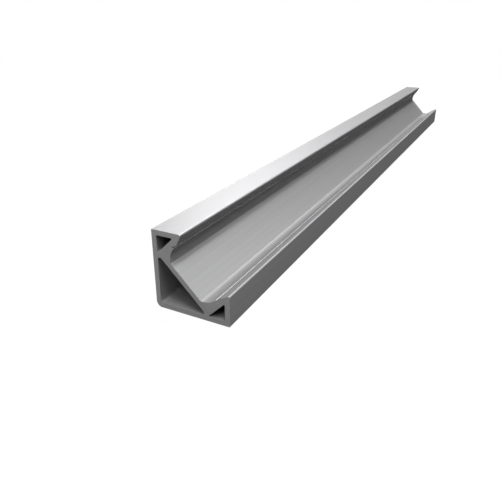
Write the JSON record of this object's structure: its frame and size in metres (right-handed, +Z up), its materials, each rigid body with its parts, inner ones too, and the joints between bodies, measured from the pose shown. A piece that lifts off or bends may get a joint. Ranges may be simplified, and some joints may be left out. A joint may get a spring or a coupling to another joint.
{
  "type": "corner led strip profile",
  "caption": "Straight extruded aluminium corner profile: a 45 degree channel seats an LED strip, and undercut grooves at its mouth hold a snap-in cover.",
  "frame": {"origin": "middle of the bar's footprint on the surface that it lies on, half way along its length", "axes": "+Y along the bar; +Z up, away from the leg that it lies on; +X from the upright leg's back towards the open side"},
  "size_m": [0.019, 0.25, 0.019],
  "materials": {
    "aluminium": "natural satin anodised, with fine die lines along the length and saw-cut ends"
  },
  "bodies": {
    "root": {"profile": "aluminium"}
  },
  "joints": []
}
